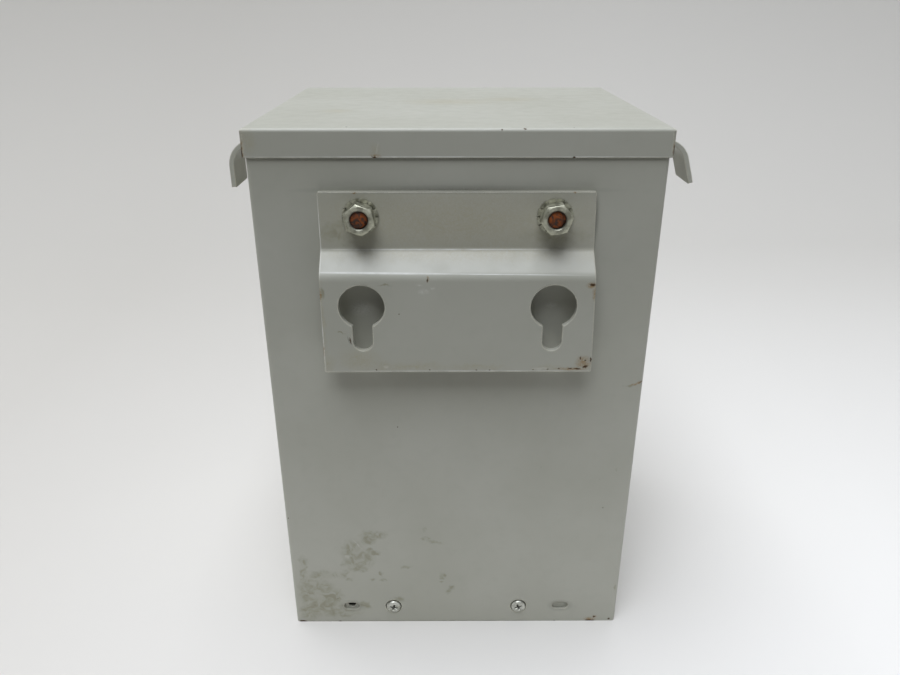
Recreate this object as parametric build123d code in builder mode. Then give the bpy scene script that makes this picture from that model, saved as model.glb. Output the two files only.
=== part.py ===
from build123d import *
import os

os.makedirs("parts", exist_ok=True)

# Millimetres, +Z up. The origin is the centre of the case's bottom face.
# The mounting side, with the hanger bracket, faces -Y; the wiring cover faces +Y.

# Case
case_width = 186.0
case_depth = 167.3
case_height = 281.4
wall = 1.5
bend_radius = 1.8
return_depth = 15.0
lap_gap = 0.1

# Lid
lid_wall = 0.9
lid_gap = 0.1
lid_drop = 12.55
lid_bend_radius = 1.5
lid_seam_width = 0.5

# Base pan
pan_wall = 1.5
pan_flange_height = 21.0
pan_bend_radius = 2.0
pan_sight_hole_diameter = 4.4
pan_sight_hole_height = 12.0

# Slots and screws near the foot of the rear panel
foot_slot_inset = 32.65
foot_slot_height = 11.85
foot_slot_length = 9.0
foot_slot_width = 4.9
foot_screw_inset = 56.9
foot_screw_height = 11.5
foot_screw_access_diameter = 9.2

# Number 8 pan head screws
screw_diameter = 4.17
screw_length = 9.5
screw_head_diameter = 8.2
screw_head_height = 2.8
screw_head_round = 1.1
screw_recess_length = 4.4
screw_recess_width = 1.2
screw_recess_depth = 2.0
screw_recess_taper = 12.0
screw_hole_clearance = 0.25
screw_thread_clearance = 0.05

# Hanger bracket, a strap with a joggle that holds its lower flange off the case
bracket_wall = 2.7
bracket_top_width = 123.9
bracket_bottom_width = 127.1
bracket_top_shift = -0.45
bracket_bottom_shift = 0.35
bracket_below_lid = 14.5
bracket_upper_flange = 27.1
bracket_joggle_drop = 9.9
bracket_lower_flange = 47.55
bracket_standoff = 9.0
bracket_inner_bend = 3.2
bracket_corner_radius = 0.8

# Keyholes in the bracket's lower flange, narrow end down
keyhole_inset = 19.35
keyhole_below_bend = 14.25
keyhole_diameter = 21.3
keyhole_slot_width = 9.2
keyhole_slot_reach = 22.1

# Studs, washers and nuts that hold the bracket
stud_inset = 18.35
stud_below_bracket_top = 10.9
stud_diameter = 7.94
stud_embedment = 16.0
stud_point_chamfer = 0.5
stud_hole_clearance = 0.35
nut_across_flats = 12.7
nut_height = 6.75
nut_face_share = 0.95
nut_chamfer_angle = 60.0
nut_thread_clearance = 0.1
nut_countersink = 0.5
nut_countersink_angle = 44.0
nut_shy = 0.6
nut_turns = {"left": -20.0, "right": 10.0}
washer_diameter = 16.4
washer_wall = 1.1
washer_teeth = 12
washer_notch_width = 1.3
washer_notch_depth = 1.5

# Lifting ears, steel strips that leave the side panels just under the lid
ear_wall = 2.5
ear_strip_width = 24.0
ear_below_lid = 4.05
ear_outer_radius = 14.0
ear_tab = 4.0
ear_slot_clearance = 0.15
ear_corner_radius = 0.8
ear_left_reach = 28.1
ear_left_leg = 24.0
ear_left_spread = 0.0
ear_right_reach = 28.5
ear_right_leg = 23.1
ear_right_spread = 17.0

# Wiring compartment on the front, behind a screwed cover
cover_height = 99.5
cover_seam = 0.6
landing_overlap = 13.0
landing_wall = 1.5
cover_screw_inset = 13.0
cover_screw_margin = 7.0

# Encapsulated core and coils
core_gap = 0.2
core_rise = 2.0

# Conduit knockouts, rings half sheared into the sheet
knockout_diameters = (22.2, 28.6)
knockout_groove = 0.5
knockout_groove_depth = 0.7
side_knockout_inset = 47.65
side_knockout_height = 50.0
floor_knockout_inset = 50.0

# Blank rating plate and its rivets
plate_width = 96.0
plate_height = 58.0
plate_wall = 0.6
plate_corner_radius = 3.0
plate_rise = 12.0
rivet_inset = 4.5
rivet_diameter = 2.4
rivet_head_diameter = 4.6
rivet_head_height = 1.3
rivet_head_round = 0.9
rivet_clearance = 0.1

# Places worked out from the sizes above
rear_face = -case_depth / 2
front_face = case_depth / 2
side_outer = case_width / 2 - wall - lap_gap
side_inner = side_outer - wall
rear_inner = rear_face + wall
front_inner = front_face - wall
wall_top = case_height - lid_wall - lap_gap
lid_bottom = case_height - lid_drop
keyhole_spacing = bracket_bottom_width - 2 * keyhole_inset
stud_spacing = bracket_top_width - 2 * stud_inset
foot_slot_spacing = case_width - 2 * foot_slot_inset
foot_screw_spacing = case_width - 2 * foot_screw_inset
cover_screw_spacing = case_width - 2 * cover_screw_inset
side_knockout_spacing = case_depth - 2 * side_knockout_inset
floor_knockout_spacing = case_width - 2 * floor_knockout_inset
pan_half_width = side_inner - lap_gap
pan_half_depth = front_inner - lap_gap
front_panel_bottom = cover_height + cover_seam
landing_bottom = cover_height - landing_overlap
landing_top = front_panel_bottom + landing_overlap
core_bottom = landing_top + core_rise
core_half_width = side_inner - core_gap
core_half_depth = front_inner - core_gap
plate_centre_height = (front_panel_bottom + lid_bottom) / 2 + plate_rise
bracket_top = lid_bottom - bracket_below_lid
bracket_upper_bend = bracket_top - bracket_upper_flange
bracket_lower_bend = bracket_upper_bend - bracket_joggle_drop
bracket_bottom = bracket_lower_bend - bracket_lower_flange
keyhole_height = bracket_lower_bend - keyhole_below_bend
stud_height = bracket_top - stud_below_bracket_top
ear_top = lid_bottom - ear_below_lid
bracket_face = rear_face - bracket_wall
nut_seat = bracket_face - washer_wall
stud_point = nut_seat - nut_height + nut_shy
stud_root = rear_inner + stud_embedment
nut_bore_radius = stud_diameter / 2 + nut_thread_clearance
screw_hole_radius = screw_diameter / 2 + screw_hole_clearance
screw_thread_radius = screw_diameter / 2 + screw_thread_clearance
ear_half_slot = ear_strip_width / 2 + ear_slot_clearance
both_sides = (("left", -1), ("right", 1))


def write(part, label):
    """Label a finished piece and write it to its own file."""
    part.part.label = label
    export_step(part.part, f"parts/{label}.step")


def rear_plane(x, z, y=rear_face):
    """A plane that looks out of the rear, with its own x along +X and its own y along +Z."""
    return Plane(origin=(x, y, z), x_dir=(1, 0, 0), z_dir=(0, -1, 0))


def front_plane(x, z, y=front_face):
    """A plane that looks out of the front, with its own y along +Z."""
    return Plane(origin=(x, y, z), x_dir=(-1, 0, 0), z_dir=(0, 1, 0))


def side_plane(side, y, z, x=side_outer):
    """A plane that looks out of one side, with its own y along +Z."""
    return Plane(origin=(side * x, y, z), x_dir=(0, side, 0), z_dir=(side, 0, 0))


def channel_profile(side):
    """Plan of a folded panel: a face at the rear (-1) or front (1) and two short returns."""
    x = case_width / 2 - wall / 2
    y_face = side * (case_depth / 2 - wall / 2)
    y_end = side * (case_depth / 2 - return_depth)
    with BuildSketch(mode=Mode.PRIVATE) as profile:
        with BuildLine():
            FilletPolyline(
                (-x, y_end), (-x, y_face), (x, y_face), (x, y_end),
                radius=bend_radius - wall / 2,
            )
        trace(line_width=wall)
    return profile.sketch


def knockout_rings(plane, centres):
    """Sink the knockout rings round each centre into the sheet of the part being built."""
    with BuildSketch(plane) as rings:
        with Locations(*centres):
            for diameter in sorted(knockout_diameters, reverse=True):
                Circle(diameter / 2)
                Circle(diameter / 2 - knockout_groove, mode=Mode.SUBTRACT)
    extrude(rings.sketch, amount=-knockout_groove_depth, mode=Mode.SUBTRACT)


def pan_head_screw(seat):
    """A cross recessed pan head screw whose head sits on the given plane."""
    with BuildPart() as screw:
        with BuildSketch(seat):
            Circle(screw_head_diameter / 2)
        extrude(amount=screw_head_height)
        outward = Axis(seat.origin, seat.z_dir)
        rim = screw.edges().filter_by(GeomType.CIRCLE).sort_by(outward)[-1]
        fillet(rim, radius=screw_head_round)
        with BuildSketch(seat.offset(screw_head_height)):
            Rectangle(screw_recess_length, screw_recess_width)
            Rectangle(screw_recess_width, screw_recess_length)
        extrude(amount=-screw_recess_depth, taper=screw_recess_taper, mode=Mode.SUBTRACT)
        with BuildSketch(seat):
            Circle(screw_diameter / 2)
        extrude(amount=-screw_length)
    return screw


# Rear panel, folded round the two rear corners
with BuildPart() as rear_panel:
    with BuildSketch():
        add(channel_profile(-1))
    extrude(amount=wall_top)
    with BuildSketch(rear_plane(0, 0)):
        with Locations((0, stud_height)):
            with GridLocations(stud_spacing, 0, 2, 1):
                Circle(stud_diameter / 2 + stud_hole_clearance)
        with Locations((0, foot_screw_height)):
            with GridLocations(foot_screw_spacing, 0, 2, 1):
                Circle(foot_screw_access_diameter / 2)
        with Locations((0, foot_slot_height)):
            with GridLocations(foot_slot_spacing, 0, 2, 1):
                SlotOverall(foot_slot_length, foot_slot_width)
    extrude(amount=-2 * wall, mode=Mode.SUBTRACT)
write(rear_panel, "rear_panel")

# Front panel, folded round the two front corners, above the wiring cover
with BuildPart() as front_panel:
    with BuildSketch(Plane.XY.offset(front_panel_bottom)):
        add(channel_profile(1))
    extrude(amount=wall_top - front_panel_bottom)
    with BuildSketch(front_plane(0, plate_centre_height)):
        with GridLocations(plate_width - 2 * rivet_inset, plate_height - 2 * rivet_inset, 2, 2):
            Circle(rivet_diameter / 2 + rivet_clearance)
    extrude(amount=-2 * wall, mode=Mode.SUBTRACT)
write(front_panel, "front_panel")

# Wiring cover, folded like the front panel below it
with BuildPart() as wiring_cover:
    with BuildSketch():
        add(channel_profile(1))
    extrude(amount=cover_height)
    with BuildSketch(front_plane(0, 0)):
        for height in (foot_screw_height, cover_height - cover_screw_margin):
            with Locations((0, height)):
                with GridLocations(cover_screw_spacing, 0, 2, 1):
                    Circle(screw_hole_radius)
    extrude(amount=-2 * wall, mode=Mode.SUBTRACT)
write(wiring_cover, "wiring_cover")

# Flat side panels, inside the returns of the folded panels
for name, side in both_sides:
    ear_slot_top = ear_top + ear_slot_clearance
    ear_slot_height = ear_wall + 2 * ear_slot_clearance
    with BuildPart() as side_panel:
        with BuildSketch(Plane.YZ.offset(side * side_outer)):
            with Locations((0, wall_top / 2)):
                Rectangle(case_depth - 2 * bend_radius, wall_top)
            with Locations((0, ear_slot_top - ear_slot_height / 2)):
                Rectangle(2 * ear_half_slot, ear_slot_height, mode=Mode.SUBTRACT)
        extrude(amount=-side * wall)
        knockout_rings(
            side_plane(side, 0, side_knockout_height),
            [(-side_knockout_spacing / 2, 0), (side_knockout_spacing / 2, 0)],
        )
    write(side_panel, f"{name}_side_panel")

# Base pan, a shallow tray whose flanges stand inside the panels
with BuildPart() as base_pan:
    with BuildSketch():
        Rectangle(2 * pan_half_width, 2 * pan_half_depth)
    extrude(amount=pan_flange_height)
    fillet(base_pan.faces().sort_by(Axis.Z)[0].edges(), radius=pan_bend_radius)
    with BuildSketch(Plane.XY.offset(pan_wall)):
        Rectangle(2 * (pan_half_width - pan_wall), 2 * (pan_half_depth - pan_wall))
    extrude(amount=pan_flange_height, mode=Mode.SUBTRACT)
    with BuildSketch(rear_plane(0, 0, -pan_half_depth)):
        with Locations((0, foot_screw_height)):
            with GridLocations(foot_screw_spacing, 0, 2, 1):
                Circle(screw_thread_radius)
        with Locations((-foot_slot_spacing / 2, pan_sight_hole_height)):
            Circle(pan_sight_hole_diameter / 2)
    extrude(amount=-2 * pan_wall, mode=Mode.SUBTRACT)
    with BuildSketch(front_plane(0, 0, pan_half_depth)):
        with Locations((0, foot_screw_height)):
            with GridLocations(cover_screw_spacing, 0, 2, 1):
                Circle(screw_thread_radius)
    extrude(amount=-2 * pan_wall, mode=Mode.SUBTRACT)
    knockout_rings(
        Plane.XY.rotated((180, 0, 0)),
        [(-floor_knockout_spacing / 2, 0), (floor_knockout_spacing / 2, 0)],
    )
write(base_pan, "base_pan")

# Landing strip behind the seam between the front panel and the wiring cover
with BuildPart() as cover_landing:
    with BuildSketch(front_plane(0, (landing_bottom + landing_top) / 2, pan_half_depth)):
        Rectangle(2 * pan_half_width, landing_top - landing_bottom)
    extrude(amount=-landing_wall)
    with BuildSketch(front_plane(0, cover_height - cover_screw_margin, pan_half_depth)):
        with GridLocations(cover_screw_spacing, 0, 2, 1):
            Circle(screw_thread_radius)
    extrude(amount=-2 * landing_wall, mode=Mode.SUBTRACT)
write(cover_landing, "cover_landing")

# Lid, a pressed sheet cap with a flange all round and an open seam at each corner
lid_half_width = case_width / 2 + lid_gap + lid_wall
lid_half_depth = case_depth / 2 + lid_gap + lid_wall
with BuildPart() as lid:
    with BuildSketch(Plane.XY.offset(lid_bottom)):
        Rectangle(2 * lid_half_width, 2 * lid_half_depth)
    extrude(amount=lid_drop)
    fillet(lid.faces().sort_by(Axis.Z)[-1].edges(), radius=lid_bend_radius)
    with BuildSketch(Plane.XY.offset(case_height - lid_wall)):
        Rectangle(2 * (lid_half_width - lid_wall), 2 * (lid_half_depth - lid_wall))
    extrude(amount=-lid_drop, mode=Mode.SUBTRACT)
    with BuildSketch(Plane.XY.offset(lid_bottom)):
        with GridLocations(2 * lid_half_width, 2 * lid_half_depth, 2, 2):
            Rectangle(2 * lid_wall, lid_seam_width)
    extrude(amount=lid_drop - lid_bend_radius, mode=Mode.SUBTRACT)
write(lid, "lid")

# Hanger bracket: bent section, then its ends trimmed a little wider at the bottom, as on the real one
bracket_middle = bracket_wall / 2
bracket_reach = bracket_standoff + bracket_middle
with BuildPart() as hanger_bracket:
    with BuildSketch(Plane.YZ):
        with BuildLine():
            FilletPolyline(
                (rear_face - bracket_middle, bracket_top),
                (rear_face - bracket_middle, bracket_upper_bend),
                (rear_face - bracket_reach, bracket_lower_bend),
                (rear_face - bracket_reach, bracket_bottom),
                radius=bracket_inner_bend + bracket_middle,
            )
        trace(line_width=bracket_wall)
    extrude(amount=bracket_bottom_width, both=True)
    with BuildSketch(rear_plane(0, 0)):
        with BuildLine():
            Polyline(
                (bracket_top_shift - bracket_top_width / 2, bracket_top),
                (bracket_top_shift + bracket_top_width / 2, bracket_top),
                (bracket_bottom_shift + bracket_bottom_width / 2, bracket_bottom),
                (bracket_bottom_shift - bracket_bottom_width / 2, bracket_bottom),
                close=True,
            )
        make_face()
    extrude(amount=2 * bracket_standoff + bracket_wall, mode=Mode.INTERSECT)
    fillet(hanger_bracket.edges().filter_by(Axis.Y), radius=bracket_corner_radius)
    slot_radius = keyhole_slot_width / 2
    slot_run = keyhole_slot_reach - slot_radius
    with BuildSketch(rear_plane(0, keyhole_height, bracket_face - bracket_standoff)):
        with GridLocations(keyhole_spacing, 0, 2, 1):
            Circle(keyhole_diameter / 2)
        with GridLocations(keyhole_spacing, 0, 2, 1):
            with Locations((0, -slot_run / 2)):
                Rectangle(keyhole_slot_width, slot_run)
            with Locations((0, -slot_run)):
                Circle(slot_radius)
    extrude(amount=-2 * bracket_wall, mode=Mode.SUBTRACT)
    with BuildSketch(rear_plane(0, stud_height, bracket_face)):
        with GridLocations(stud_spacing, 0, 2, 1):
            Circle(stud_diameter / 2 + stud_hole_clearance)
    extrude(amount=-2 * bracket_wall, mode=Mode.SUBTRACT)
write(hanger_bracket, "hanger_bracket")

# Studs, washers and nuts of the hanger bracket
for name, side in both_sides:
    stud_x = side * stud_spacing / 2
    with BuildPart() as stud:
        with BuildSketch(rear_plane(stud_x, stud_height, stud_root)):
            Circle(stud_diameter / 2)
        extrude(amount=stud_root - stud_point)
        chamfer(stud.edges().sort_by(Axis.Y)[0], length=stud_point_chamfer)
    write(stud, f"{name}_hanger_stud")

    with BuildPart() as washer:
        with BuildSketch(rear_plane(stud_x, stud_height, bracket_face)):
            Circle(washer_diameter / 2)
            Circle(stud_diameter / 2 + stud_hole_clearance, mode=Mode.SUBTRACT)
            with PolarLocations(washer_diameter / 2, washer_teeth):
                Rectangle(2 * washer_notch_depth, washer_notch_width, mode=Mode.SUBTRACT)
        extrude(amount=washer_wall)
    write(washer, f"{name}_hanger_washer")

    with BuildPart() as nut:
        with BuildSketch(rear_plane(stud_x, stud_height, nut_seat)):
            RegularPolygon(nut_across_flats / 2, 6, major_radius=False, rotation=nut_turns[name])
        extrude(amount=nut_height)
        face_radius = nut_face_share * nut_across_flats / 2
        with BuildSketch(rear_plane(stud_x, stud_height, nut_seat - nut_height)):
            Circle(face_radius)
        extrude(amount=-nut_height, taper=-nut_chamfer_angle, mode=Mode.INTERSECT)
        with BuildSketch(rear_plane(stud_x, stud_height, nut_seat)):
            Circle(nut_bore_radius)
        extrude(amount=nut_height, mode=Mode.SUBTRACT)
        with BuildSketch(rear_plane(stud_x, stud_height, nut_seat - nut_height)):
            Circle(nut_bore_radius + nut_countersink)
        extrude(amount=-nut_countersink, taper=nut_countersink_angle, mode=Mode.SUBTRACT)
    write(nut, f"{name}_hanger_nut")

# Lifting ears: strip steel, a tab inside the case, a leg out of the side and a hook bent down
for name, side, reach, leg, spread in (
    ("left", -1, ear_left_reach, ear_left_leg, ear_left_spread),
    ("right", 1, ear_right_reach, ear_right_leg, ear_right_spread),
):
    middle = ear_top - ear_wall / 2
    corner_x = case_width / 2 + reach - ear_wall / 2
    hook = Vector(0, 0, -leg).rotate(Axis.Y, -spread)
    with BuildPart() as ear:
        with BuildSketch(Plane.XZ):
            with BuildLine():
                FilletPolyline(
                    (side * (side_inner - ear_tab), middle),
                    (side * corner_x, middle),
                    (side * (corner_x + hook.X), middle + hook.Z),
                    radius=ear_outer_radius - ear_wall / 2,
                )
            trace(line_width=ear_wall)
        extrude(amount=ear_strip_width / 2, both=True)
        strip_corners = ear.edges().filter_by(lambda edge: abs(edge.length - ear_wall) < lap_gap)
        fillet(strip_corners.sort_by(Axis.Z)[:2], radius=ear_corner_radius)
    write(ear, f"{name}_lifting_ear")

# Encapsulated core and coils: one cast block above the wiring compartment
with BuildPart() as potted_core:
    with BuildSketch(Plane.XY.offset(core_bottom)):
        Rectangle(2 * core_half_width, 2 * core_half_depth)
    extrude(amount=wall_top - core_bottom)
    with BuildSketch(rear_plane(0, stud_height, stud_root)):
        with GridLocations(stud_spacing, 0, 2, 1):
            Circle(stud_diameter / 2)
    extrude(amount=stud_embedment, mode=Mode.SUBTRACT)
    with BuildSketch(Plane.XY.offset(ear_top - ear_wall - core_gap)):
        with GridLocations(2 * core_half_width, 0, 2, 1):
            Rectangle(2 * (ear_tab + core_gap), 2 * ear_half_slot)
    extrude(amount=ear_wall + 2 * core_gap, mode=Mode.SUBTRACT)
write(potted_core, "potted_core")

# Screws in the base pan's rear flange, their heads inside access holes in the rear panel
for name, side in both_sides:
    foot_seat = rear_plane(side * foot_screw_spacing / 2, foot_screw_height, -pan_half_depth)
    foot_screw = pan_head_screw(foot_seat)
    write(foot_screw, f"{name}_foot_screw")

# Screws of the wiring cover, into the base pan below and the landing strip above
for level, height in (("lower", foot_screw_height), ("upper", cover_height - cover_screw_margin)):
    for name, side in both_sides:
        cover_screw = pan_head_screw(front_plane(side * cover_screw_spacing / 2, height))
        write(cover_screw, f"{level}_{name}_cover_screw")

# Blank rating plate on the front panel
with BuildPart() as rating_plate:
    with BuildSketch(front_plane(0, plate_centre_height)):
        RectangleRounded(plate_width, plate_height, plate_corner_radius)
        with GridLocations(plate_width - 2 * rivet_inset, plate_height - 2 * rivet_inset, 2, 2):
            Circle(rivet_diameter / 2 + rivet_clearance, mode=Mode.SUBTRACT)
    extrude(amount=plate_wall)
write(rating_plate, "rating_plate")

# Rivets of the rating plate
for level, rise in (("lower", -1), ("upper", 1)):
    for name, side in both_sides:
        rivet_x = side * (plate_width / 2 - rivet_inset)
        rivet_z = plate_centre_height + rise * (plate_height / 2 - rivet_inset)
        rivet_seat = front_plane(rivet_x, rivet_z, front_face + plate_wall)
        with BuildPart() as rivet:
            with BuildSketch(rivet_seat):
                Circle(rivet_head_diameter / 2)
            extrude(amount=rivet_head_height)
            fillet(rivet.edges().sort_by(Axis.Y)[-1], radius=rivet_head_round)
            with BuildSketch(rivet_seat):
                Circle(rivet_diameter / 2)
            extrude(amount=-(plate_wall + wall))
        write(rivet, f"{level}_{name}_plate_rivet")
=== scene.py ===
import math
import bmesh
import bpy
from mathutils import Matrix, Vector


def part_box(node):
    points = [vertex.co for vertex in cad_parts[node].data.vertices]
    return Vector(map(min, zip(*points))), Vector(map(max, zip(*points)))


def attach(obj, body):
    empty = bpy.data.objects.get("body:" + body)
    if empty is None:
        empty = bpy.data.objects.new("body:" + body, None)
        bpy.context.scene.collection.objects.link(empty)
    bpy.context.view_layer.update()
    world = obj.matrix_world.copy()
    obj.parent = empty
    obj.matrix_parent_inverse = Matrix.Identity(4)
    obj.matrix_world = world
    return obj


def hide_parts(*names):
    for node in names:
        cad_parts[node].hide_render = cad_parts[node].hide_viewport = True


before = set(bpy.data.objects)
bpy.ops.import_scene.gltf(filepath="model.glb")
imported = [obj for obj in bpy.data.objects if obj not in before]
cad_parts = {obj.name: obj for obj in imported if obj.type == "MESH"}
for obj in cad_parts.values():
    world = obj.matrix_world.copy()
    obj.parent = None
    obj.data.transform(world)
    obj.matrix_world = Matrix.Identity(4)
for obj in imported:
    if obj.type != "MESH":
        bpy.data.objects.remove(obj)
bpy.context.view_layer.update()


# Camera
# A compact camera held a little above the case, looking down at its mounting side.
camera_data = bpy.data.cameras.new("camera")
camera_data.lens = 29.49
camera_data.sensor_width = 36.0
camera_data.clip_start = 0.01
camera = bpy.data.objects.new("camera", camera_data)
camera.location = (-0.00482, -0.40925, 0.33004)
camera.rotation_euler = (math.radians(90 - 24.358), 0, math.radians(-0.238))
bpy.context.collection.objects.link(camera)
bpy.context.scene.camera = camera
bpy.context.scene.view_settings.view_transform = "Standard"


# Studio
# A pale matte table top whose front edge is under the camera and whose back sweeps up into a
# backdrop, one wide soft panel of light high up and a little to the left, and a dim even room.
def linear(code):
    """An sRGB hex colour as linear red, green, blue and alpha."""
    channels = [int(code[start:start + 2], 16) / 255 for start in (1, 3, 5)]
    return (*(c / 12.92 if c <= 0.04045 else ((c + 0.055) / 1.055) ** 2.4 for c in channels), 1.0)


def add(tree, kind, feeds=None, **settings):
    """Add a node, set it up, and feed each named socket with a value or another node's output."""
    made = tree.nodes.new("ShaderNode" + kind)
    for name, value in settings.items():
        setattr(made, name, value)
    for socket, value in (feeds or {}).items():
        if isinstance(value, bpy.types.NodeSocket):
            tree.links.new(value, made.inputs[socket])
        else:
            made.inputs[socket].default_value = value
    return made


def between(tree, value, low, high, to_low=0.0, to_high=1.0):
    """A value scaled from one range to another and held there."""
    return add(tree, "MapRange", {0: value, 1: low, 2: high, 3: to_low, 4: to_high}).outputs[0]


def blended(tree, share, under, over):
    """One colour laid over another by a share."""
    return add(tree, "Mix", {0: share, 6: under, 7: over}, data_type="RGBA").outputs[2]


sweep_half_width = 4.0
sweep_front = -0.39
sweep_back = 0.45
sweep_radius = 0.6
sweep_height = 3.0
sweep_steps = 32
table_lines = bmesh.new()
front_edge = [table_lines.verts.new((x, sweep_front, 0)) for x in (sweep_half_width, -sweep_half_width)]
table_edge = table_lines.edges.new(front_edge)
flat = bmesh.ops.extrude_edge_only(table_lines, edges=[table_edge])["geom"]
flat_verts = [part for part in flat if isinstance(part, bmesh.types.BMVert)]
bmesh.ops.translate(table_lines, verts=flat_verts, vec=(0, sweep_back - sweep_front, 0))
flat_edges = [part for part in flat if isinstance(part, bmesh.types.BMEdge)]
flat_edge = [edge for edge in flat_edges if set(edge.verts) == set(flat_verts)]
turned = bmesh.ops.spin(
    table_lines, geom=flat_verts + flat_edge, cent=(0, sweep_back, sweep_radius), axis=(1, 0, 0),
    angle=math.pi / 2, steps=sweep_steps, use_merge=False,
)["geom_last"]
wall_edge = [part for part in turned if isinstance(part, bmesh.types.BMEdge)]
wall = bmesh.ops.extrude_edge_only(table_lines, edges=wall_edge)["geom"]
wall_verts = [part for part in wall if isinstance(part, bmesh.types.BMVert)]
bmesh.ops.translate(table_lines, verts=wall_verts, vec=(0, 0, sweep_height))
bmesh.ops.recalc_face_normals(table_lines, faces=table_lines.faces)
table_mesh = bpy.data.meshes.new("table")
table_lines.to_mesh(table_mesh)
table_lines.free()
table_mesh.shade_smooth()
table = bpy.data.objects.new("table", table_mesh)
bpy.context.collection.objects.link(table)

# Matte laminate with no gloss to mirror the case. Its colour is greyer and a little warmer to the left and
# greyer towards its back: painted shade.
laminate = bpy.data.materials.new("matte_white_laminate")
laminate.use_nodes = True
tree = laminate.node_tree
at = add(tree, "TexCoord").outputs["Object"]
cloud = add(tree, "TexNoise", {"Vector": at, "Scale": 2.5, "Detail": 3.0}).outputs[0]
place = add(tree, "SeparateXYZ", {0: at}).outputs
across = between(tree, place["X"], -0.4, 0.35)
across = add(tree, "Math", {0: cloud, 1: 0.15, 2: across}, operation="MULTIPLY_ADD").outputs[0]
tone = blended(tree, across, linear("#CBC7BF"), linear("#EFEDE8"))
tone = blended(tree, between(tree, place["Y"], -0.15, 0.6, 0.0, 0.8), tone, linear("#C3C0B8"))
shader = tree.nodes["Principled BSDF"]
tree.links.new(tone, shader.inputs["Base Color"])
shader.inputs["Roughness"].default_value = 0.9
shader.inputs["Specular IOR Level"].default_value = 0.1
table_mesh.materials.append(laminate)

lamp_data = bpy.data.lights.new("ceiling_softbox", "AREA")
lamp_data.shape = "RECTANGLE"
lamp_data.size = 2.6
lamp_data.size_y = 5.0
lamp_data.energy = 262.0
lamp_data.color = linear("#F2F6FF")[:3]
lamp = bpy.data.objects.new("ceiling_softbox", lamp_data)
lamp.location = (-0.48, -1.05, 4.0)
bpy.context.collection.objects.link(lamp)

# The room lights the case very weakly, but looks pale to the camera and in gloss.
room = bpy.data.worlds.new("room")
room.use_nodes = True
tree = room.node_tree
tree.nodes.clear()
path = add(tree, "LightPath").outputs
seen = path["Is Camera Ray"]
for ray in ("Is Glossy Ray", "Is Transmission Ray"):
    seen = add(tree, "Math", {0: seen, 1: path[ray]}, operation="MAXIMUM").outputs[0]
dim = add(tree, "Background", {"Color": linear("#FFFFFF"), "Strength": 0.035}).outputs[0]
pale = add(tree, "Background", {"Color": linear("#B4B5B6"), "Strength": 1.0}).outputs[0]
both = add(tree, "MixShader", {0: seen, 1: dim, 2: pale}).outputs[0]
add(tree, "OutputWorld", {"Surface": both})
bpy.context.scene.world = room


# Rear panel
# The mounting side of the case: 1.5 mm sheet steel folded round the two rear corners and stove
# enamelled. Its foot is dirty and smeared at the left and has rusted where the paint has chipped.
to_mm = 1000.0


def nearest(tree, place, marks):
    """How far a point is from the nearest mark, in that mark's own half sizes, all in millimetres."""
    found = None
    for x, y, z, half_x, half_y, half_z, turn in marks:
        local = add(
            tree, "Mapping",
            {"Vector": place, "Location": (x, y, z), "Rotation": (0, math.radians(turn), 0),
             "Scale": (half_x, half_y, half_z)},
            vector_type="TEXTURE",
        ).outputs[0]
        away = add(tree, "VectorMath", {0: local}, operation="LENGTH").outputs["Value"]
        if found is not None:
            away = add(tree, "Math", {0: found, 1: away}, operation="MINIMUM").outputs[0]
        found = away
    return found


def new_finish(name):
    """A new material, its tree, its shader, and the place on the piece in millimetres."""
    material = bpy.data.materials.new(name)
    material.use_nodes = True
    tree = material.node_tree
    at = add(tree, "TexCoord").outputs["Object"]
    at = add(tree, "VectorMath", {0: at, "Scale": to_mm}, operation="SCALE").outputs[0]
    return material, tree, tree.nodes["Principled BSDF"], at


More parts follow.
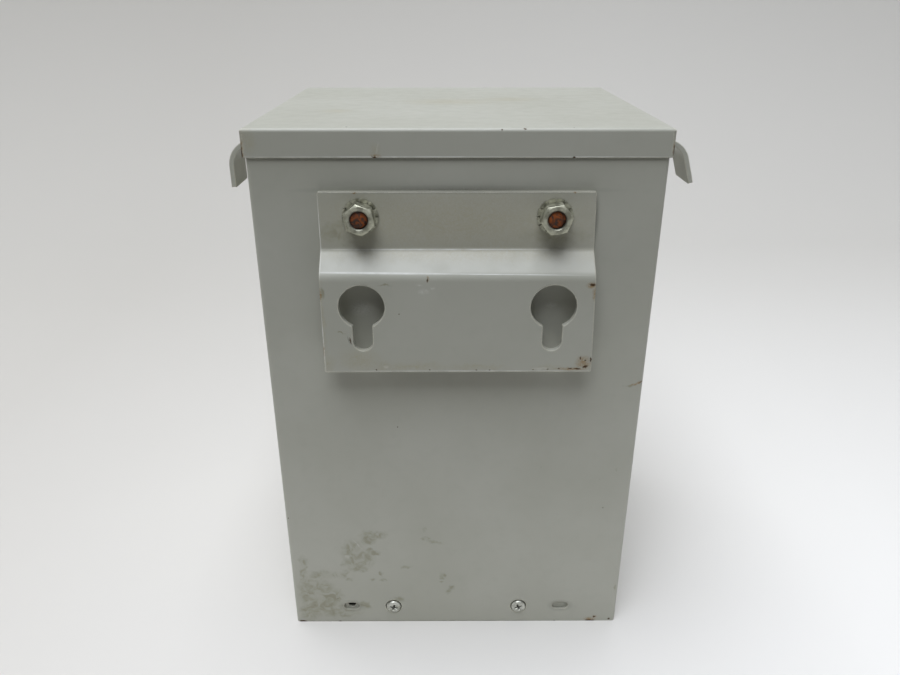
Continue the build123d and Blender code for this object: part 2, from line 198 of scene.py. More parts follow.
def enamel(name, **marks):
    """Stove enamel on sheet steel: an even grey-green film with a faint orange peel and a satin sheen,
    pale and yellowed on sharp edges, rubbed thin there and with a painted highlight. Its marks are
    lists for nearest(): chips show dark rusty steel, rust is a soft brown stain, smudges are greasy
    smears, scuffs are pale rubbed paint and in places painted light, creases are pale lines of painted
    highlight along bends and edges with a little rubbed paint, grime is dark soiling and painted shade
    in crevices and beside parts, yellowing is a faint old stain and in places painted shade."""
    material, tree, shader, at = new_finish(name)

    # Film: clouds about 60 mm wide, fainter spots about 7 mm wide.
    cloud = add(tree, "TexNoise", {"Vector": at, "Scale": 1 / 60, "Detail": 3.0}).outputs[0]
    spots = add(tree, "TexNoise", {"Vector": at, "Scale": 1 / 7, "Detail": 4.0}).outputs[0]
    colour = blended(tree, between(tree, cloud, 0.35, 0.65), linear("#ADADA0"), linear("#B3B3A7"))
    colour = blended(tree, between(tree, spots, 0.5, 0.75, 0.0, 0.16), colour, linear("#A3A396"))
    gloss = between(tree, spots, 0.3, 0.7, 0.36, 0.46)

    # Dust specks: one 0.4 mm speck in a few of the 16 mm cells.
    cells = add(tree, "TexVoronoi", {"Vector": at, "Scale": 1 / 16}).outputs
    speck = between(tree, cells["Distance"], 0.04, 0.02)
    rare = between(tree, add(tree, "SeparateColor", {0: cells["Color"]}).outputs[0], 0.7, 0.72)
    speck = add(tree, "Math", {0: speck, 1: rare}, operation="MULTIPLY").outputs[0]
    colour = blended(tree, between(tree, speck, 0.0, 1.0, 0.0, 0.5), colour, linear("#5A5648"))

    def wandered(width, reach):
        """The place, shaken sideways so that the outlines of marks wander."""
        shake = add(tree, "TexNoise", {"Vector": at, "Scale": 1 / width, "Detail": 4.0}).outputs["Color"]
        to_both_sides = {0: shake, 1: (reach * 2,) * 3, 2: (-reach,) * 3}
        shake = add(tree, "VectorMath", to_both_sides, operation="MULTIPLY_ADD").outputs[0]
        return add(tree, "VectorMath", {0: at, 1: shake}).outputs[0]

    def stained(under, kind, place, soft, hard, most, texture, tint):
        """The colour with one kind of mark laid over it."""
        share = between(tree, nearest(tree, place, marks[kind]), soft, hard, 0.0, most)
        share = add(tree, "Math", {0: share, 1: texture}, operation="MULTIPLY").outputs[0]
        return blended(tree, share, under, linear(tint))

    fine = wandered(1.6, 0.8)
    medium = wandered(4.0, 3.0)
    torn = {"Vector": at, "Scale": 1 / 1.1, "Detail": 4.0, "Distortion": 1.5}
    grain = add(tree, "TexNoise", torn).outputs[0]
    patchy = between(tree, grain, 0.35, 0.6, 0.25, 1.0)
    # A faint yellow-brown film: old stains, and in places painted shade.
    if "yellowing_and_shade" in marks:
        colour = stained(colour, "yellowing_and_shade", medium, 1.3, 0.2, 0.34, patchy, "#9F9369")
    if "smudges" in marks:
        streaks = {"Vector": at, "Scale": 1 / 5.5, "Detail": 6.0, "Distortion": 1.2}
        smear = between(tree, add(tree, "TexNoise", streaks).outputs[0], 0.38, 0.62, 0.2, 1.0)
        colour = stained(colour, "smudges", medium, 1.4, 0.6, 0.62, smear, "#817E62")
    # Pale patches: rubbed paint, and in places painted light.
    if "scuffs" in marks:
        colour = stained(colour, "scuffs", fine, 1.2, 0.4, 0.5, patchy, "#D2D3CB")

    # Edges: within a millimetre of a sharp turn the colour is pale and a little yellow: a painted highlight
    # along the edge, where the film is also rubbed thin.
    soft = add(tree, "Bevel", {"Radius": 0.001}, samples=4).outputs[0]
    true = add(tree, "NewGeometry").outputs["Normal"]
    agree = add(tree, "VectorMath", {0: soft, 1: true}, operation="DOT_PRODUCT").outputs["Value"]
    near_edge = between(tree, agree, 1.0, 0.92)
    uneven = between(tree, spots, 0.35, 0.6, 0.6, 1.0)
    edge = add(tree, "Math", {0: near_edge, 1: uneven}, operation="MULTIPLY").outputs[0]
    colour = blended(tree, edge, colour, linear("#DEDBC8"))
    # Pale lines along bends and edges: painted highlights, with a little rubbed paint.
    if "painted_highlights" in marks:
        patchy_highlight = between(tree, spots, 0.35, 0.6, 0.5, 1.0)
        colour = stained(colour, "painted_highlights", at, 1.3, 0.5, 0.85, patchy_highlight, "#E8E9E2")
    if "rust" in marks:
        colour = stained(colour, "rust", fine, 1.3, 0.3, 0.85, patchy, "#8C6A2A")
    # Dark marks: soiling, and painted shade in crevices and beside parts.
    if "grime_and_shade" in marks:
        uneven_darkening = between(tree, grain, 0.3, 0.7, 0.7, 1.0)
        colour = stained(colour, "grime_and_shade", at, 1.3, 0.0, 0.6, uneven_darkening, "#2E2D27")

    # Height in millimetres: orange peel drawn at 1.2 mm, coarser than the real 0.3 mm so that it
    # shows, over the slow waves of the rolled sheet.
    peel = add(tree, "TexNoise", {"Vector": at, "Scale": 1 / 1.2, "Detail": 1.0}).outputs[0]
    waves = add(tree, "TexNoise", {"Vector": at, "Scale": 1 / 55, "Detail": 1.0}).outputs[0]
    waves = between(tree, waves, 0.0, 1.0, 0.0, 0.5)
    height = add(tree, "Math", {0: peel, 1: 0.012, 2: waves}, operation="MULTIPLY_ADD").outputs[0]
    if "chips" in marks:
        bare = between(tree, nearest(tree, fine, marks["chips"]), 1.15, 0.6)
        steel = blended(tree, patchy, linear("#1F1A15"), linear("#4E3516"))
        colour = blended(tree, bare, colour, steel)
        gloss = add(tree, "Math", {0: gloss, 1: between(tree, bare, 0.0, 1.0, 0.0, 0.45)}).outputs[0]
        height = add(tree, "Math", {0: bare, 1: -0.06, 2: height}, operation="MULTIPLY_ADD").outputs[0]
    bump = add(tree, "Bump", {"Strength": 1.0, "Distance": 0.001, "Height": height, "Normal": soft})
    tree.links.new(bump.outputs[0], shader.inputs["Normal"])
    tree.links.new(colour, shader.inputs["Base Color"])
    tree.links.new(gloss, shader.inputs["Roughness"])
    shader.inputs["IOR"].default_value = 1.5
    return material


def coat(material, *nodes):
    """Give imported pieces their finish."""
    for node in nodes:
        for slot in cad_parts[node].material_slots:
            slot.material = material


rear_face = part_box("rear_panel")[0].y * to_mm
lid_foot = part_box("lid")[0].z * to_mm
# Half the depth of most marks in millimetres, enough to reach through a sheet.
mark_depth = 4.0


def on_face(face, depth, *places):
    """Marks given as (x, z, half width, half height, turn) on a face that looks to the front or rear."""
    return [(x, face, z, half_x, depth, half_z, turn) for x, z, half_x, half_z, turn in places]


rear_chips = on_face(
    rear_face, mark_depth,
    (78.6, 0.3, 3.0, 0.7, 0), (80.9, 3.2, 0.8, 0.5, 0), (89.5, 1.4, 0.5, 0.9, 0),
    (-89.4, 0.3, 2.3, 0.9, 0), (-30.3, 132.2, 0.4, 0.35, 0), (57.7, 0.3, 0.6, 0.4, 0),
    (-67.8, 0.2, 1.0, 0.35, 0), (-91.6, 74.7, 0.3, 0.5, 0), (91.8, 158.2, 0.9, 0.25, -28),
)
rear_rust = on_face(
    rear_face, mark_depth,
    (78.4, 1.4, 3.4, 1.5, 0), (81.0, 3.2, 1.2, 0.9, 0), (91.0, 157.8, 2.0, 0.7, -28),
    (88.6, 156.6, 2.0, 0.5, -12),
)
rear_smudges = on_face(
    rear_face, mark_depth,
    (-46.0, 63.0, 6.2, 2.6, 0), (-48.5, 60.0, 4.0, 3.4, 0), (-58.0, 52.0, 5.0, 7.5, 10),
    (-54.0, 46.5, 7.0, 6.5, 0), (-47.5, 51.5, 4.6, 1.5, 24), (-61.5, 44.0, 3.0, 3.6, 0),
    (-55.0, 39.0, 5.0, 2.4, 0), (-86.0, 43.0, 2.2, 5.0, 0), (-86.5, 34.0, 2.0, 7.0, 0),
    (-84.0, 26.0, 5.0, 5.0, 0), (-84.0, 19.0, 5.0, 5.0, 0), (-76.5, 35.0, 6.5, 2.6, 0),
    (-69.5, 34.5, 4.0, 2.2, 0), (-77.0, 25.5, 6.5, 5.0, 0), (-72.0, 19.0, 6.5, 5.0, 0),
    (-77.0, 13.0, 8.0, 6.0, 0), (-84.0, 8.0, 5.5, 6.0, 0), (-66.0, 7.5, 9.5, 4.0, 0),
    (-63.2, 36.0, 1.8, 2.6, 0), (-60.6, 32.0, 1.6, 1.2, 0), (-42.4, 36.2, 1.2, 1.6, 0),
    (-41.6, 31.6, 1.6, 1.0, 0), (-47.5, 31.0, 1.8, 1.0, 0), (-28.0, 40.2, 2.8, 1.0, 0),
    (-17.0, 60.3, 2.0, 1.2, 0), (-12.0, 58.0, 4.5, 1.2, 14), (-17.0, 66.5, 1.0, 1.8, 0),
    (-7.3, 34.0, 2.4, 1.6, 0), (-7.8, 30.0, 1.5, 1.0, 0), (-3.5, 24.0, 1.4, 3.2, 35),
    (-52.7, 12.5, 2.6, 3.0, 0), (86.0, 155.8, 2.0, 0.8, 0), (91.2, 25.2, 0.7, 1.2, 0),
    (84.7, 105.8, 0.6, 0.5, 0), (-33.0, 17.0, 3.0, 2.0, 0),
)
# Pale patches: two rub marks low on the left, and two behind the keyholes that are painted light seen
# through them.
rear_scuffs = on_face(
    rear_face, mark_depth,
    (-55.0, 57.0, 0.35, 4.5, -35), (-61.0, 48.0, 1.6, 1.4, 0), (-46.0, 198.0, 6.0, 4.0, 0),
    (44.5, 199.5, 3.0, 1.4, 0),
)
# Dark bands: painted shade under the lid's edge, above and to the right of the hanger bracket, along the
# foot and round the foot slots, with some soiling under the lid and above the bracket.
rear_shade_and_grime = on_face(
    rear_face, 3.0,
    (0.0, lid_foot + 0.2, 130.0, 1.9, 0), (-0.5, 254.5, 60.0, 1.8, 0), (61.9, 240.0, 1.8, 12.5, 0),
    (62.4, 196.0, 2.6, 22.0, 0), (0.0, 0.0, 130.0, 0.6, 0), (-60.35, 11.85, 6.2, 3.8, 0),
    (60.35, 11.85, 6.2, 3.8, 0),
)
rear_marks = {
    "chips": rear_chips, "rust": rear_rust, "smudges": rear_smudges, "scuffs": rear_scuffs,
    "grime_and_shade": rear_shade_and_grime,
}
coat(enamel("stove_enamel_rear", **rear_marks), "rear_panel")


# Front panel, wiring cover, side panels and landing strip
# The other sheets of the case, the same enamelled steel. They have only the light wear of
# handling: rubbed edges, specks, and small chips at the foot.
front_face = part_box("front_panel")[1].y * to_mm
body_chips = [
    (88.0, front_face, 2.0, 2.6, mark_depth, 1.2, 0), (-89.0, front_face, 1.5, 2.2, mark_depth, 1.1, 0),
    (34.0, front_face, 1.0, 1.4, mark_depth, 0.6, 0), (-91.8, 40.0, 98.0, mark_depth, 1.2, 0.7, 0),
    (91.8, -30.0, 3.0, mark_depth, 2.0, 1.4, 0),
]
body_scuffs = [
    (30.0, front_face, 214.0, 7.0, mark_depth, 0.7, 18),
    (-55.0, front_face, 60.0, 9.0, mark_depth, 0.6, -12), (92.0, 20.0, 180.0, mark_depth, 10.0, 0.8, 0),
    (-92.0, -15.0, 120.0, mark_depth, 8.0, 0.7, 0),
]
coat(
    enamel("stove_enamel_body", chips=body_chips, scuffs=body_scuffs),
    "front_panel", "wiring_cover", "left_side_panel", "right_side_panel", "cover_landing",
)


# Base pan
# The shallow tray that the panels stand round, seen only from below and through the foot slots.
# Its enamel is scraped by the bench it has stood on.
pan_chips = [
    (-84.0, -76.0, 0.0, 4.0, 3.0, 2.0, 0), (82.0, -79.0, 0.0, 5.0, 2.4, 2.0, 0),
    (86.0, 74.0, 0.0, 2.4, 5.0, 2.0, 0), (-80.0, 79.0, 0.0, 3.6, 2.0, 2.0, 0),
]
pan_scuffs = [
    (-20.0, 30.0, 0.0, 26.0, 0.8, 2.0, 0), (15.0, -42.0, 0.0, 18.0, 0.7, 2.0, 0),
    (50.0, 10.0, 0.0, 0.8, 15.0, 2.0, 0),
]
coat(enamel("stove_enamel_pan", chips=pan_chips, scuffs=pan_scuffs), "base_pan")


# Lid
# A pressed cap of 0.9 mm sheet over the top of the case, its corners left open. The seams bleed
# rust, and the front edge has small chips and one scrape.
lid_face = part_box("lid")[0].y * to_mm
lid_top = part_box("lid")[1].z * to_mm
lid_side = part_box("lid")[1].x * to_mm
lid_chips = [
    (-36.6, lid_face, lid_foot + 0.3, 1.4, 2.0, 0.3, 0),
    (50.6, lid_face, lid_foot + 0.2, 0.7, 2.0, 0.35, 0),
    (18.9, lid_face, lid_top - 0.7, 0.5, 1.0, 0.3, 0),
    (28.6, lid_face + 0.6, lid_top - 0.3, 0.7, 0.7, 0.3, 0),
    (50.2, lid_face + 3.0, lid_top, 0.5, 0.6, 0.5, 0),
    (-48.4, lid_face + 4.5, lid_top, 0.45, 0.7, 0.5, 0),
    (-lid_side, lid_face, lid_foot + 2.6, 0.4, 0.9, 3.6, 0),
    (lid_side, lid_face, lid_foot + 3.0, 0.3, 0.7, 3.0, 0),
    (lid_side, -lid_face, lid_foot + 3.0, 0.7, 0.7, 4.0, 0),
    (-lid_side, -lid_face, lid_foot + 2.0, 0.6, 0.6, 3.0, 0),
]
lid_rust = [
    (-lid_side, lid_face, lid_foot + 4.0, 1.0, 1.5, 4.6, 0),
    (lid_side, lid_face, lid_foot + 4.0, 0.8, 1.2, 4.0, 0),
    (-36.0, lid_face, lid_foot + 0.9, 2.2, 2.0, 0.8, 0),
    (lid_side, -lid_face, lid_foot + 4.0, 1.2, 1.2, 5.0, 0),
]
lid_scuffs = [
    (-35.0, lid_face, lid_foot + 4.0, 0.5, 1.5, 3.0, 10),
    (-15.0, lid_face + 4.5, lid_top, 4.0, 0.6, 0.6, 0),
    (-48.0, lid_face + 5.5, lid_top, 2.0, 0.8, 0.6, 0),
]
# A pale line along the foot of the front flange: painted highlight where the edge catches light from the
# table, with a little rubbed paint.
lid_painted_highlights = on_face(
    lid_face, 2.0,
    (-30.0, lid_foot + 0.5, 66.0, 0.28, 0), (60.0, lid_foot + 0.45, 40.0, 0.2, 0),
)
lid_yellowing = [
    (-91.5, lid_face, lid_top - 5.0, 4.0, 3.0, 6.0, 0),
    (-36.0, lid_face, lid_foot + 3.0, 2.4, 2.0, 3.0, 0), (-4.0, 10.0, lid_top, 24.0, 12.0, 4.0, 0),
    (30.0, 20.0, lid_top, 16.0, 9.0, 4.0, 0), (-60.0, -28.0, lid_top, 8.0, 6.0, 4.0, 0),
]
lid_marks = {
    "chips": lid_chips, "rust": lid_rust, "scuffs": lid_scuffs, "yellowing_and_shade": lid_yellowing,
    "painted_highlights": lid_painted_highlights,
}
coat(enamel("stove_enamel_lid", **lid_marks), "lid")


# Hanger bracket
# A 2.7 mm steel strap, sheared, joggled and punched with two keyholes, enamelled with the case.
# The sheared edges are yellowed; the lower right corner has rusted and the keyholes are scraped.
bracket_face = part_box("hanger_bracket")[0].y * to_mm
bracket_sheet = 2.7
upper_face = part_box("hanger_bracket")[1].y * to_mm - bracket_sheet
bracket_chips = on_face(
    bracket_face, 1.5,
    (-13.7, 216.2, 0.35, 1.3, 0), (-50.1, 186.3, 0.35, 1.8, -15), (61.2, 213.9, 1.2, 0.7, 0),
    (60.8, 172.6, 1.3, 0.6, -20), (57.2, 171.5, 1.7, 0.45, 0), (53.8, 171.8, 0.9, 0.3, 0),
    (58.2, 177.0, 0.3, 0.9, 0), (63.2, 176.4, 0.35, 1.5, 0), (60.6, 176.0, 0.4, 0.4, 0),
    (48.3, 171.5, 0.5, 0.35, 0), (-38.5, 171.1, 0.4, 0.35, 0), (15.4, 170.9, 0.6, 0.25, 0),
    (9.0, 170.9, 0.5, 0.25, 0), (-13.2, 171.0, 0.35, 0.3, 0), (43.0, 171.2, 0.6, 0.3, 0),
    (36.2, 171.0, 0.4, 0.25, 0), (-27.0, 199.6, 0.35, 0.3, 0),
)
bracket_rust = on_face(
    bracket_face, 2.0,
    (59.8, 174.6, 3.6, 3.4, 0), (54.0, 171.4, 7.0, 0.8, 0), (60.8, 213.6, 2.4, 1.6, 0),
    (62.6, 209.8, 1.1, 3.4, 0), (-63.2, 181.5, 0.7, 3.6, 0), (-62.6, 209.0, 0.6, 3.0, 0),
    (-13.6, 216.8, 0.7, 1.4, 0),
)
bracket_rust += on_face(upper_face, 1.5, (-45.7, 253.8, 1.0, 0.6, 0), (51.8, 254.0, 0.8, 0.5, 0))
bracket_scuffs = on_face(
    bracket_face, 2.0,
    (-15.6, 210.8, 2.6, 1.4, 0), (-17.6, 214.0, 1.6, 0.6, 0), (-11.6, 212.4, 1.2, 0.6, 0),
    (58.6, 174.4, 1.3, 1.0, 0), (40.0, 171.6, 4.5, 0.8, 0), (-34.0, 172.6, 1.4, 1.0, 0),
)
bracket_smudges = on_face(
    bracket_face, 14.0,
    (-33.6, 213.8, 3.2, 0.6, 0), (-53.9, 190.2, 1.3, 0.4, 0), (-61.5, 210.0, 1.0, 3.0, 0),
    (-50.0, 236.0, 12.0, 5.0, 0), (44.0, 234.0, 14.0, 4.0, 0),
)
bracket_yellowing_and_shade = on_face(
    bracket_face, 4.0,
    (-46.3, 176.5, 9.0, 6.0, 0), (-61.6, 173.6, 3.5, 5.0, 0), (-34.6, 173.0, 4.0, 2.4, 0),
    (-62.6, 196.0, 1.2, 24.0, 0), (42.0, 172.0, 7.0, 1.6, 0), (-22.0, 172.8, 18.0, 2.0, 0),
    (10.0, 172.2, 14.0, 1.4, 0),
)
# Over the whole upper flange and along the joggle's valley the film is darkened: painted shade.
bracket_yellowing_and_shade += on_face(upper_face, 8.0, (0.0, 241.0, 90.0, 20.0, 0), (0.0, 226.4, 90.0, 4.0, 0))
# Pale lines along the joggle's valley and ridge, the bottom edge and the left edge: painted highlights,
# with a little rubbed paint.
bracket_painted_highlights = on_face(
    bracket_face, 40.0,
    (-8.0, 228.0, 54.0, 0.35, 0), (-32.0, 219.2, 33.0, 0.4, 0.55), (20.0, 218.7, 36.0, 0.2, 0.55),
    (0.0, 170.4, 66.0, 0.2, 0), (-62.3, 235.0, 0.22, 20.0, 0), (-62.9, 195.0, 0.3, 26.0, -0.6),
)
bracket_grime = on_face(upper_face + 1.0, 2.4, (-0.5, 254.35, 90.0, 0.9, 0))
bracket_grime += on_face(bracket_face, 2.0, (-50.9, 186.6, 0.4, 2.2, -15))
bracket_marks = {
    "chips": bracket_chips, "rust": bracket_rust, "smudges": bracket_smudges, "scuffs": bracket_scuffs,
    "yellowing_and_shade": bracket_yellowing_and_shade, "painted_highlights": bracket_painted_highlights, "grime_and_shade": bracket_grime,
}
coat(enamel("stove_enamel_bracket", **bracket_marks), "hanger_bracket")


# Lifting ears
# Steel strips bent down into hooks, enamelled with the case and rubbed along their outer curve.
ear_scuffs = [
    (-121.0, 0.0, 256.0, 2.0, 9.0, 6.0, 0), (120.0, 0.0, 257.0, 2.0, 8.0, 5.0, 0),
]
coat(enamel("stove_enamel_ears", scuffs=ear_scuffs), "left_lifting_ear", "right_lifting_ear")


# Hanger studs
# 5/16 inch steel studs, 18 threads to the inch, cast into the core. Their ends were cut off by
# hand, never plated, and have rusted orange and brown.

# Half the depth in millimetres of a mark that runs through the whole case.
right_through = 1000.0


def settle(lines, name, material, node, smooth_angle=35.0):
    """Make a finished piece of a mesh, riding on the case in place of its CAD node."""
    bmesh.ops.remove_doubles(lines, verts=lines.verts, dist=1e-6)
    bmesh.ops.recalc_face_normals(lines, faces=lines.faces)
    mesh = bpy.data.meshes.new(name)
    lines.to_mesh(mesh)
    lines.free()
    mesh.shade_smooth()
    mesh.set_sharp_from_angle(angle=math.radians(smooth_angle))
    mesh.materials.append(material)
    piece = bpy.data.objects.new(name, mesh)
    bpy.context.collection.objects.link(piece)
    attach(piece, "root")
    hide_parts(node)


def rust_scale(name, centres, radius):
    """Bare steel rusted through: a crumbling matt skin of orange and brown scale over dark metal, black
    towards the rim of the round ends, whose centres and radius are given in millimetres."""
    material, tree, shader, at = new_finish(name)
    swirls = {"Vector": at, "Scale": 1 / 4.0, "Detail": 3.0, "Distortion": 2.2}
    flakes = add(tree, "TexNoise", swirls).outputs[0]
    grains = add(tree, "TexNoise", {"Vector": at, "Scale": 1 / 0.35, "Detail": 3.0}).outputs[0]
    colour = blended(tree, between(tree, flakes, 0.4, 0.6), linear("#2C1608"), linear("#8C4714"))
    colour = blended(tree, between(tree, grains, 0.5, 0.75, 0.0, 0.12), colour, linear("#AE7440"))
    rims = [(x, 0.0, z, radius * 0.95, right_through, radius * 0.95, 0) for x, z in centres]
    at_rim = between(tree, nearest(tree, at, rims), 0.85, 1.0, 0.0, 0.7)
    colour = blended(tree, at_rim, colour, linear("#20140E"))
    tree.links.new(colour, shader.inputs["Base Color"])
    tree.links.new(between(tree, flakes, 0.3, 0.7, 0.6, 0.85), shader.inputs["Roughness"])
    height = add(tree, "Math", {0: grains, 1: 0.08, 2: flakes}, operation="MULTIPLY_ADD").outputs[0]
    bump = add(tree, "Bump", {"Strength": 0.7, "Distance": 0.0003, "Height": height})
    tree.links.new(bump.outputs[0], shader.inputs["Normal"])
    return material


both_sides = ("left", "right")
thread_radius = 0.00397
thread_pitch = 0.001411
thread_depth = 0.6134 * thread_pitch
thread_root = thread_radius - thread_depth
# One pitch of the thread: each corner's radius, and how far along the pitch it stands.
thread_outline = (
    (thread_root, 0), (thread_root, 0.25), (thread_radius, 0.56), (thread_radius, 0.69), (thread_root, 1),
)
thread_steps = 24
stud_chamfer = 0.0005
stud_dish = 0.00025
stud_centres = []
for side in both_sides:
    low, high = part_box(f"{side}_hanger_stud")
    centre = (low + high) / 2 * to_mm
    stud_centres.append((centre.x, centre.z))
stud_rust = rust_scale("rusted_stud_steel", stud_centres, thread_radius * to_mm)
for side in both_sides:
    low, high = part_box(f"{side}_hanger_stud")
    middle = (low + high) / 2
    turns = math.ceil((high.y - low.y) / thread_pitch) + 2
    lines = bmesh.new()
    thread_start = low.y - thread_pitch
    profile = [
        lines.verts.new((middle.x + radius, thread_start + along * thread_pitch, middle.z))
        for radius, along in thread_outline
    ]
    ridge = [lines.edges.new(pair) for pair in zip(profile, profile[1:])]
    bmesh.ops.spin(
        lines, geom=profile + ridge, cent=middle, axis=(0, 1, 0), dvec=(0, thread_pitch / thread_steps, 0),
        angle=math.tau * turns, steps=thread_steps * turns, use_merge=False,
    )
    bmesh.ops.remove_doubles(lines, verts=lines.verts, dist=1e-6)
    for end, outward in ((low.y, -1), (high.y, 1)):
        cut = bmesh.ops.bisect_plane(
            lines, geom=lines.verts[:] + lines.edges[:] + lines.faces[:], dist=1e-7,
            plane_co=(0, end, 0), plane_no=(0, outward, 0), clear_outer=True,
        )["geom_cut"]
        rim = [part for part in cut if isinstance(part, bmesh.types.BMEdge)]
        cap = bmesh.ops.contextual_create(lines, geom=rim)["faces"]
        bmesh.ops.inset_region(lines, faces=cap, thickness=stud_chamfer, depth=0, use_even_offset=True)
        rim_verts = {vert for edge in rim for vert in edge.verts}
        bmesh.ops.translate(lines, verts=list(rim_verts), vec=(0, -outward * stud_chamfer, 0))
        centre = bmesh.ops.poke(lines, faces=cap)["verts"]
        bmesh.ops.translate(lines, verts=centre, vec=(0, -outward * stud_dish, 0))
    settle(lines, f"{side}_threaded_stud", stud_rust, f"{side}_hanger_stud", 60.0)


# Hanger nuts
# Half inch hexagon nuts, chamfered on both faces, turned from bar and zinc plated. The plating
# has gone dull, and a dark ring round the bore is a painted dark reflection.
def zinc(name, dull, bright, grime_and_shade):
    """Zinc plate on machined steel: a soft grey shine dulled in patches to a pale bloom and browned
    where rust has run over it, dark and less metallic at the marks given: painted shade in screw
    recesses, which are also soiled, and a painted dark reflection round nut bores."""
    material, tree, shader, at = new_finish(name)
    bloom = add(tree, "TexNoise", {"Vector": at, "Scale": 1 / 3.0, "Detail": 4.0}).outputs[0]
    grit = add(tree, "TexNoise", {"Vector": at, "Scale": 1 / 0.5, "Detail": 3.0}).outputs[0]
    colour = blended(tree, between(tree, bloom, 0.4, 0.62), linear(dull), linear(bright))
    colour = blended(tree, between(tree, grit, 0.56, 0.74, 0.0, 0.45), colour, linear("#6A604B"))
    shade_and_dirt = between(tree, nearest(tree, at, grime_and_shade), 1.1, 0.9, 0.0, 0.75)
    colour = blended(tree, shade_and_dirt, colour, linear("#45443B"))
    tree.links.new(colour, shader.inputs["Base Color"])
    tree.links.new(between(tree, bloom, 0.35, 0.65, 0.3, 0.55), shader.inputs["Roughness"])
    tree.links.new(between(tree, shade_and_dirt, 0.0, 0.75, 0.9, 0.3), shader.inputs["Metallic"])
    height = add(tree, "Math", {0: grit, 1: 0.4, 2: bloom}, operation="MULTIPLY_ADD").outputs[0]
    bump = add(tree, "Bump", {"Strength": 0.35, "Distance": 0.0002, "Height": height})
    tree.links.new(bump.outputs[0], shader.inputs["Normal"])
    return material


nut_half_flats = 0.00635
nut_corner = nut_half_flats / math.cos(math.pi / 6)
nut_face_radius = 0.00603
nut_chamfer_height = 0.00075
nut_seat_radius = 0.0061
nut_seat_height = 0.0004
nut_countersink = 0.0005
nut_bore = 0.00407
nut_steps = 96
nut_edge = 0.00012
# A dark ring on each nut's face round the bore: painted dark reflection.
bore_dark_ring_radius = 4.5
bore_dark_ring = [(x, 0.0, z, bore_dark_ring_radius, right_through, bore_dark_ring_radius, 0) for x, z in stud_centres]
plated = zinc("dull_zinc_plate", "#8B8B7C", "#B6B6A4", bore_dark_ring)


def from_middle(vector):
    """How far a point is from the nut's own axis."""
    return math.hypot(vector.x, vector.z)


for side in both_sides:
    node = f"{side}_hanger_nut"
    low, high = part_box(node)
    middle = (low + high) / 2
    corner = max((vert.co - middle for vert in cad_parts[node].data.vertices), key=from_middle)
    first_flat = math.atan2(corner.z, corner.x) + math.pi / 6
    lines = bmesh.new()
    profile = [
        lines.verts.new((middle.x + radius, y, middle.z))
        for radius, y in (
            (nut_bore + nut_countersink, low.y), (nut_face_radius, low.y),
            (nut_corner, low.y + nut_chamfer_height), (nut_corner, high.y - nut_seat_height),
            (nut_seat_radius, high.y), (nut_bore, high.y), (nut_bore, low.y + nut_countersink),
        )
    ]
    section = [lines.edges.new(pair) for pair in zip(profile, profile[1:] + profile[:1])]
    bmesh.ops.spin(
        lines, geom=profile + section, cent=middle, axis=(0, 1, 0), angle=math.tau, steps=nut_steps,
        use_merge=True,
    )
    for flat in range(6):
        angle = first_flat + flat * math.pi / 3
        outward = Vector((math.cos(angle), 0, math.sin(angle)))
        cut = bmesh.ops.bisect_plane(
            lines, geom=lines.verts[:] + lines.edges[:] + lines.faces[:], dist=1e-7,
            plane_co=middle + outward * nut_half_flats, plane_no=outward, clear_outer=True,
        )["geom_cut"]
        flat_rim = [part for part in cut if isinstance(part, bmesh.types.BMEdge)]
        bmesh.ops.contextual_create(lines, geom=flat_rim)
    sharp = [edge for edge in lines.edges if edge.is_manifold and edge.calc_face_angle() > math.radians(25)]
    bmesh.ops.bevel(
        lines, geom=sharp, offset=nut_edge, segments=2, profile=0.5, affect="EDGES", material=-1,
        clamp_overlap=True,
    )
    settle(lines, f"{side}_hexagon_nut", plated, node)


# Tooth washers
# Spring steel washers under the nuts, with twelve teeth round the rim, each twisted so that one
# corner bites the paint. Zinc plated like the nuts.
washer_bore = 0.0043
washer_web = 0.0067
washer_radius = 0.0082
washer_steps = 144
washer_wall = 0.0007
tooth_pitch = 30.0
notch_half_angle = 3.0
tooth_twist = 0.00012


def from_notch(point, middle):
    """Degrees from a point on the rim to the nearest notch, and its distance from the middle."""
    x, z = point.x - middle.x, point.z - middle.z
    angle = math.degrees(math.atan2(z, x)) % tooth_pitch
    return (angle if angle < tooth_pitch / 2 else angle - tooth_pitch), math.hypot(x, z)


for side in both_sides:
    node = f"{side}_hanger_washer"
    low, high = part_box(node)
    middle = (low + high) / 2
    lines = bmesh.new()
    profile = [
        lines.verts.new((middle.x + radius, middle.y, middle.z))
        for radius in (washer_bore, washer_web, washer_radius)
    ]
    section = [lines.edges.new(pair) for pair in zip(profile, profile[1:])]
    bmesh.ops.spin(
        lines, geom=profile + section, cent=middle, axis=(0, 1, 0), angle=math.tau, steps=washer_steps,
        use_merge=True,
    )
    bmesh.ops.remove_doubles(lines, verts=lines.verts, dist=1e-6)
    notches = []
    for face in lines.faces:
        angle, radius = from_notch(face.calc_center_median(), middle)
        if abs(angle) < notch_half_angle and radius > washer_web:
            notches.append(face)
    bmesh.ops.delete(lines, geom=notches, context="FACES")
    for vert in lines.verts:
        angle, radius = from_notch(vert.co, middle)
        if radius > (washer_web + washer_radius) / 2:
            from_tooth = angle - math.copysign(tooth_pitch / 2, angle)
            vert.co.y += tooth_twist * from_tooth / (tooth_pitch / 2 - notch_half_angle)
    bmesh.ops.recalc_face_normals(lines, faces=lines.faces)
    bmesh.ops.solidify(lines, geom=lines.faces[:], thickness=washer_wall)
    depths = [vert.co.y for vert in lines.verts]
    bmesh.ops.translate(lines, verts=lines.verts, vec=(0, middle.y - (min(depths) + max(depths)) / 2, 0))
    settle(lines, f"{side}_tooth_washer", plated, node)


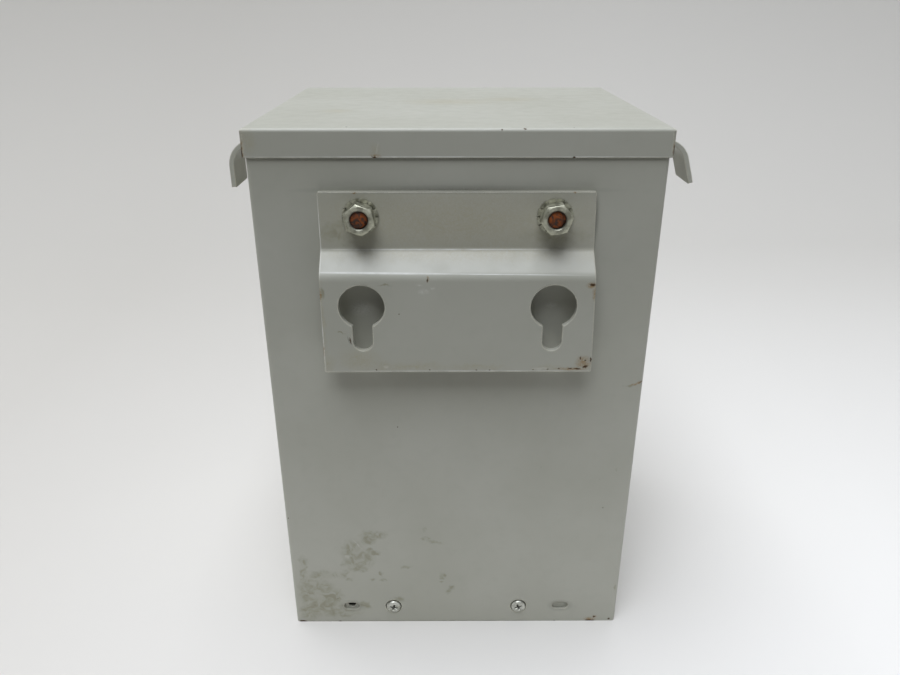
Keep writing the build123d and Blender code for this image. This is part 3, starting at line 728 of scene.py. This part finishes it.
# Foot screws and cover screws
# Number 8 pan head screws with cross recesses, zinc plated. Each was driven home to its own
# turn, and its sharp edges are broken.
head_edge = 0.00012
recess_depth = 1.15
recess_radius = 2.4
screw_turns = {
    "left_foot_screw": 15, "right_foot_screw": -20, "lower_left_cover_screw": 35,
    "lower_right_cover_screw": -8, "upper_left_cover_screw": 22, "upper_right_cover_screw": 50,
}
# The cross recesses are darkened: painted shade, with some soiling.
recess_shade_and_dirt = []
for node in screw_turns:
    low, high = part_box(node)
    outward = -1 if low.y < 0 else 1
    face = (low.y if outward < 0 else high.y) * to_mm
    centre = (low + high) / 2 * to_mm
    floor = face - outward * recess_depth
    recess_shade_and_dirt.append((centre.x, floor, centre.z, recess_radius, 1.0, recess_radius, 0))
screw_plate = zinc("bright_zinc_plate", "#A9AAA0", "#CDCEC6", recess_shade_and_dirt)


def turned_screw(node, turn):
    """A screw made from its CAD solid, turned on its own axis, with its sharp edges broken."""
    low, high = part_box(node)
    lines = bmesh.new()
    lines.from_mesh(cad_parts[node].data)
    bmesh.ops.remove_doubles(lines, verts=lines.verts, dist=1e-6)
    bmesh.ops.dissolve_limit(
        lines, angle_limit=math.radians(1), verts=lines.verts, edges=lines.edges,
        use_dissolve_boundaries=False,
    )
    about_axis = Matrix.Rotation(math.radians(turn), 3, "Y")
    bmesh.ops.rotate(lines, verts=lines.verts, cent=(low + high) / 2, matrix=about_axis)
    sharp = [edge for edge in lines.edges if edge.is_manifold and edge.calc_face_angle() > math.radians(30)]
    bmesh.ops.bevel(
        lines, geom=sharp, offset=head_edge, segments=2, profile=0.5, affect="EDGES", material=-1,
        clamp_overlap=True,
    )
    settle(lines, node.replace("screw", "pan_head_screw"), screw_plate, node)


for node, turn in screw_turns.items():
    turned_screw(node, turn)


# Rating plate and its rivets
# A blank plate of half hard aluminium, brushed lengthwise and riveted to the front panel. The
# brushing gives it a streaky silver shine, and handling has left it a faint brown tarnish.
brushed, tree, shader, at = new_finish("brushed_aluminium")
# Brush lines 0.25 mm apart and about 30 mm long, drawn coarser than the real 0.05 mm to show.
along = add(tree, "VectorMath", {0: at, 1: (1 / 30, 1 / 30, 4.0)}, operation="MULTIPLY").outputs[0]
lines_noise = add(tree, "TexNoise", {"Vector": along, "Scale": 1.0, "Detail": 2.0}).outputs[0]
tarnish = add(tree, "TexNoise", {"Vector": at, "Scale": 1 / 14, "Detail": 4.0}).outputs[0]
colour = blended(tree, between(tree, lines_noise, 0.3, 0.7), linear("#B4B6B8"), linear("#CDCFD0"))
colour = blended(tree, between(tree, tarnish, 0.5, 0.75, 0.0, 0.4), colour, linear("#9A978C"))
tree.links.new(colour, shader.inputs["Base Color"])
tree.links.new(between(tree, lines_noise, 0.3, 0.7, 0.28, 0.42), shader.inputs["Roughness"])
shader.inputs["Metallic"].default_value = 1.0
bump = add(tree, "Bump", {"Strength": 0.25, "Distance": 0.0001, "Height": lines_noise})
tree.links.new(bump.outputs[0], shader.inputs["Normal"])
coat(
    brushed, "rating_plate", "lower_left_plate_rivet", "lower_right_plate_rivet", "upper_left_plate_rivet",
    "upper_right_plate_rivet",
)


# Encapsulated core
# Core and coils cast in sand filled resin, one block that fills the case and carries the studs.
# The cast skin is dull and dark, with pale grains of sand just under it.
resin, tree, shader, at = new_finish("sand_filled_resin")
sand = add(tree, "TexNoise", {"Vector": at, "Scale": 1 / 0.9, "Detail": 4.0}).outputs[0]
flow = add(tree, "TexNoise", {"Vector": at, "Scale": 1 / 25, "Detail": 2.0}).outputs[0]
colour = blended(tree, between(tree, flow, 0.4, 0.6), linear("#2A2A29"), linear("#383735"))
colour = blended(tree, between(tree, sand, 0.55, 0.75, 0.0, 0.5), colour, linear("#55524C"))
tree.links.new(colour, shader.inputs["Base Color"])
tree.links.new(between(tree, sand, 0.3, 0.7, 0.5, 0.8), shader.inputs["Roughness"])
bump = add(tree, "Bump", {"Strength": 0.6, "Distance": 0.0003, "Height": sand})
tree.links.new(bump.outputs[0], shader.inputs["Normal"])
coat(resin, "potted_core")
